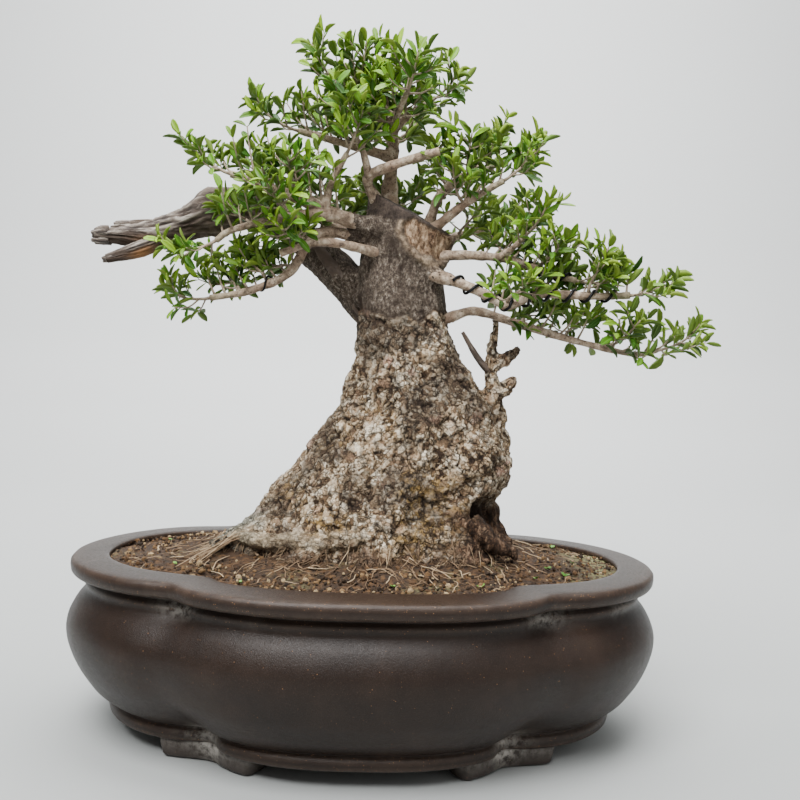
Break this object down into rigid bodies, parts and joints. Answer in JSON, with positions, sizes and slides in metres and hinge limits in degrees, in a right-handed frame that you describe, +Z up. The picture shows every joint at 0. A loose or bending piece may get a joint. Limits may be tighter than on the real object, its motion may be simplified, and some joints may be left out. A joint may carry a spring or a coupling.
{
  "type": "olive bonsai",
  "caption": "Old olive bonsai with a wide flaking base, sawn top and silvery dead limb, wired branches and small leaves, in an oval four-lobed dark clay pot on bracket feet.",
  "frame": {"origin": "middle of the whole plant's box, on the ground under the pot's feet", "axes": "+X to the right along the pot, +Y to the back, +Z up"},
  "size_m": [0.5461, 0.335, 0.5989],
  "materials": {
    "clay": "dark chocolate unglazed clay with a satin sheen and fine tan speckle",
    "soil": "coarse brown granular soil with grit and rootlets",
    "screen": "black plastic drain screen",
    "wood": "lumpy flaking grey-tan bark, smooth grey branches and silvery dead wood",
    "wire": "black anodised training wire, satin",
    "leaves": "small leathery mid green leaves, satin above and dull beneath"
  },
  "bodies": {
    "root": {"drain_screen_left": "screen", "drain_screen_right": "screen", "pot": "clay", "soil": "soil", "spray_01": "leaves", "spray_02": "leaves", "spray_03": "leaves", "spray_04": "leaves", "spray_05": "leaves", "spray_06": "leaves", "spray_07": "leaves", "spray_08": "leaves", "spray_09": "leaves", "spray_10": "leaves", "spray_11": "leaves", "spray_12": "leaves", "spray_13": "leaves", "spray_14": "leaves", "spray_15": "leaves", "spray_16": "leaves", "spray_17": "leaves", "spray_18": "leaves", "spray_19": "leaves", "spray_20": "leaves", "spray_21": "leaves", "spray_22": "leaves", "spray_23": "leaves", "spray_24": "leaves", "spray_25": "leaves", "spray_26": "leaves", "spray_27": "leaves", "spray_28": "leaves", "spray_29": "leaves", "spray_30": "leaves", "spray_31": "leaves", "spray_32": "leaves", "spray_33": "leaves", "spray_34": "leaves", "spray_35": "leaves", "spray_36": "leaves", "spray_37": "leaves", "spray_38": "leaves", "spray_39": "leaves", "spray_40": "leaves", "spray_41": "leaves", "spray_42": "leaves", "spray_43": "leaves", "spray_44": "leaves", "spray_45": "leaves", "spray_46": "leaves", "spray_47": "leaves", "spray_48": "leaves", "spray_49": "leaves", "spray_50": "leaves", "spray_51": "leaves", "spray_52": "leaves", "trunk": "wood", "wire_left_low": "wire", "wire_long_arm": "wire", "wire_upper_arm": "wire"}
  },
  "joints": []
}
